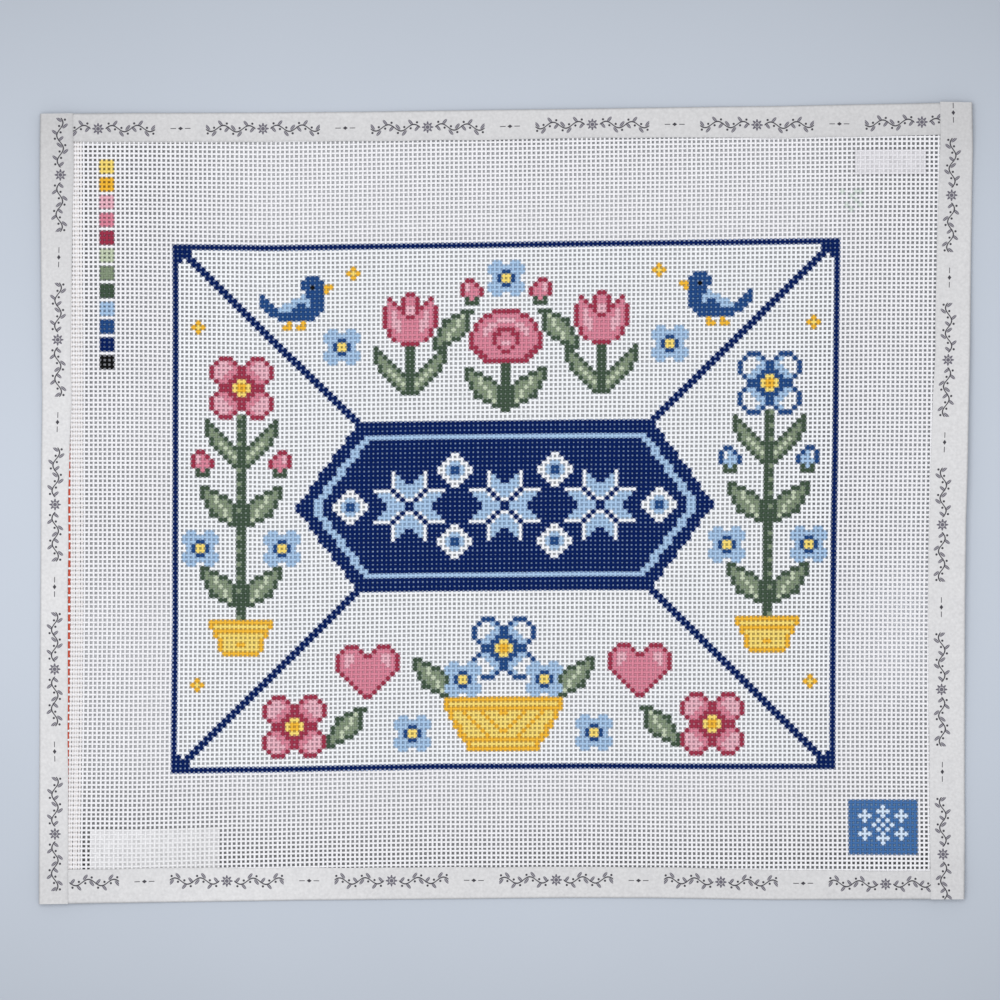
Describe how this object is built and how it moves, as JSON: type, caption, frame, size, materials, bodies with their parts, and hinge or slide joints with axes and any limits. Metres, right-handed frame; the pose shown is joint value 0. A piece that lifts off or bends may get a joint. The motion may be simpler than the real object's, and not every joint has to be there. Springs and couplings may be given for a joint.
{
  "type": "needlepoint canvas panel",
  "caption": "Rectangular sheet of open white needlepoint canvas, painted for stitching, lying flat with a folded tape binding on each edge.",
  "frame": {"origin": "below the middle of the panel's box, on the surface that it rests on", "axes": "+X along the long side, from the selvedge on the left to the right; +Y up the design; +Z out of the painted face"},
  "size_m": [0.4031, 0.346, 0.008],
  "materials": {
    "canvas": "sized white cotton thread in an open plain weave, partly painted, matte",
    "tape": "close white woven tape with a dark printed ornament, slight satin sheen"
  },
  "bodies": {
    "root": {"canvas": "canvas", "tape_top": "tape", "tape_bottom": "tape", "tape_left": "tape", "tape_right": "tape"}
  },
  "joints": []
}
